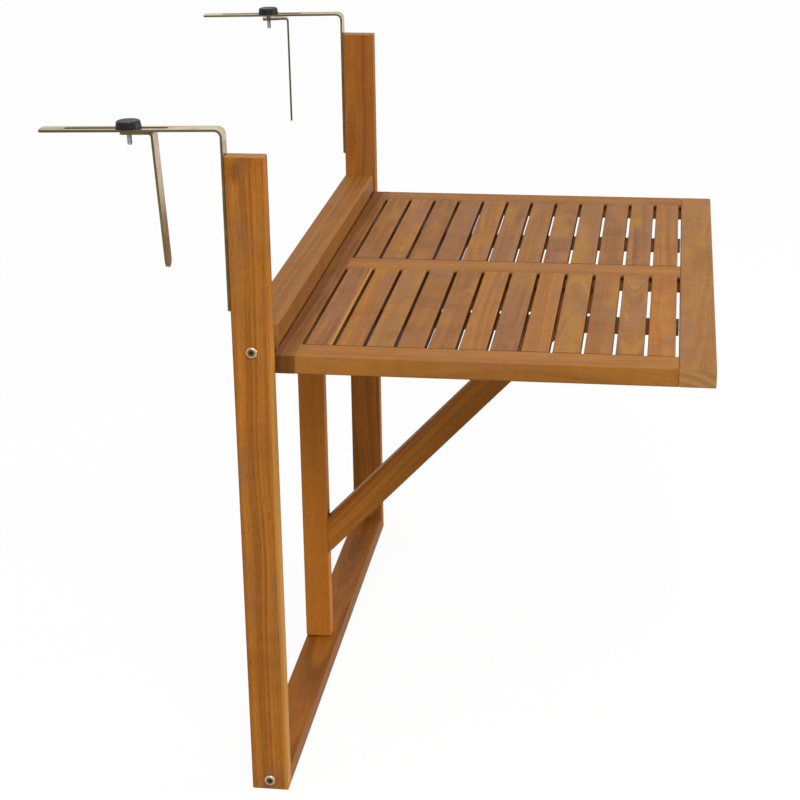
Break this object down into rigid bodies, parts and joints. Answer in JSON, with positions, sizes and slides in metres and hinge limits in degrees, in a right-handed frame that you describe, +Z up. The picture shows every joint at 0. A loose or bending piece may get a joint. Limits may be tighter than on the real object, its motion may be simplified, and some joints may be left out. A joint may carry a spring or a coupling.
{
  "type": "hanging balcony table",
  "caption": "Folding wooden balcony table with a slatted top, a swinging support gate and slotted steel hooks with knob clamps that hang it on a railing.",
  "frame": {"origin": "midway between the two hooks, in the corner that the railing fills: on the underside of the hook arms and on the hooks' face towards the railing", "axes": "+X across the table to the right of someone seated at it, +Y towards the railing, +Z up"},
  "size_m": [0.642, 0.5997, 0.6644],
  "materials": {
    "frame_wood": "oiled",
    "table_wood": "oiled",
    "slat_wood": "oiled",
    "batten_wood": "oiled",
    "gate_wood": "oiled",
    "dowel_wood": "bare",
    "plated_strap": "yellow zinc plated",
    "plated_bolt": "yellow zinc plated",
    "zinc_steel": "zinc plated",
    "knob_plastic": "moulded"
  },
  "bodies": {
    "frame_body": {"barrel_nuts": "zinc_steel", "bottom_rail": "frame_wood", "frame_bolts": "plated_bolt", "frame_dowels": "dowel_wood", "frame_hinge_leaves": "zinc_steel", "frame_hinge_screws": "zinc_steel", "hinge_pins": "zinc_steel", "hook_screws": "zinc_steel", "left_hook": "plated_strap", "left_post": "frame_wood", "right_hook": "plated_strap", "right_post": "frame_wood", "upper_rail": "frame_wood"},
    "table_body": {"left_batten": "batten_wood", "left_slat_01": "slat_wood", "left_slat_02": "slat_wood", "left_slat_03": "slat_wood", "left_slat_04": "slat_wood", "left_slat_05": "slat_wood", "left_slat_06": "slat_wood", "left_slat_07": "slat_wood", "left_slat_08": "slat_wood", "left_slat_09": "slat_wood", "left_slat_10": "slat_wood", "left_slat_11": "slat_wood", "left_slat_12": "slat_wood", "right_batten": "batten_wood", "right_slat_01": "slat_wood", "right_slat_02": "slat_wood", "right_slat_03": "slat_wood", "right_slat_04": "slat_wood", "right_slat_05": "slat_wood", "right_slat_06": "slat_wood", "right_slat_07": "slat_wood", "right_slat_08": "slat_wood", "right_slat_09": "slat_wood", "right_slat_10": "slat_wood", "right_slat_11": "slat_wood", "right_slat_12": "slat_wood", "table_back_rail": "table_wood", "table_centre_rail": "table_wood", "table_dowels": "dowel_wood", "table_front_rail": "table_wood", "table_hinge_leaves": "zinc_steel", "table_hinge_screws": "zinc_steel", "table_left_rail": "table_wood", "table_right_rail": "table_wood", "slat_screws": "zinc_steel"},
    "gate_body": {"gate_post": "gate_wood", "gate_bar": "gate_wood", "gate_brace": "gate_wood", "gate_pins": "zinc_steel", "gate_screws": "zinc_steel"},
    "left_stud_body": {"left_clamp_stud": "zinc_steel"},
    "left_bracket_body": {"left_clamp_bracket": "plated_strap"},
    "left_knob_body": {"left_knob": "knob_plastic"},
    "right_stud_body": {"right_clamp_stud": "zinc_steel"},
    "right_bracket_body": {"right_clamp_bracket": "plated_strap"},
    "right_knob_body": {"right_knob": "knob_plastic"}
  },
  "joints": [
    {"name": "gate_swing", "type": "hinge", "parent": "frame_body", "child": "gate_body", "pos_m": [-0.02, -0.0162, 0], "axis": [0, 0, 1], "range_deg": [0, 90]},
    {"name": "table_lift", "type": "hinge", "parent": "frame_body", "child": "table_body", "pos_m": [0, -0.0334, -0.224], "axis": [-1, 0, 0], "range_deg": [0, 2.5]},
    {"name": "left_clamp_slide", "type": "slide", "parent": "frame_body", "child": "left_stud_body", "axis": [0, 0.9998, -0.0209], "range_m": [-0.0328, 0.0562]},
    {"name": "left_clamp_turn", "type": "hinge", "parent": "left_stud_body", "child": "left_bracket_body", "pos_m": [-0.309, 0.08318, -0.00174], "axis": [0, 0.0209, 0.9998], "continuous": true},
    {"name": "left_knob_turn", "type": "hinge", "parent": "left_stud_body", "child": "left_knob_body", "pos_m": [-0.309, 0.08318, -0.00174], "axis": [0, 0.0209, 0.9998], "continuous": true},
    {"name": "right_clamp_slide", "type": "slide", "parent": "frame_body", "child": "right_stud_body", "axis": [0, 0.9998, -0.0209], "range_m": [-0.0364, 0.0526]},
    {"name": "right_clamp_turn", "type": "hinge", "parent": "right_stud_body", "child": "right_bracket_body", "pos_m": [0.309, 0.08678, -0.00182], "axis": [0, 0.0209, 0.9998], "continuous": true},
    {"name": "right_knob_turn", "type": "hinge", "parent": "right_stud_body", "child": "right_knob_body", "pos_m": [0.309, 0.08678, -0.00182], "axis": [0, 0.0209, 0.9998], "continuous": true}
  ]
}
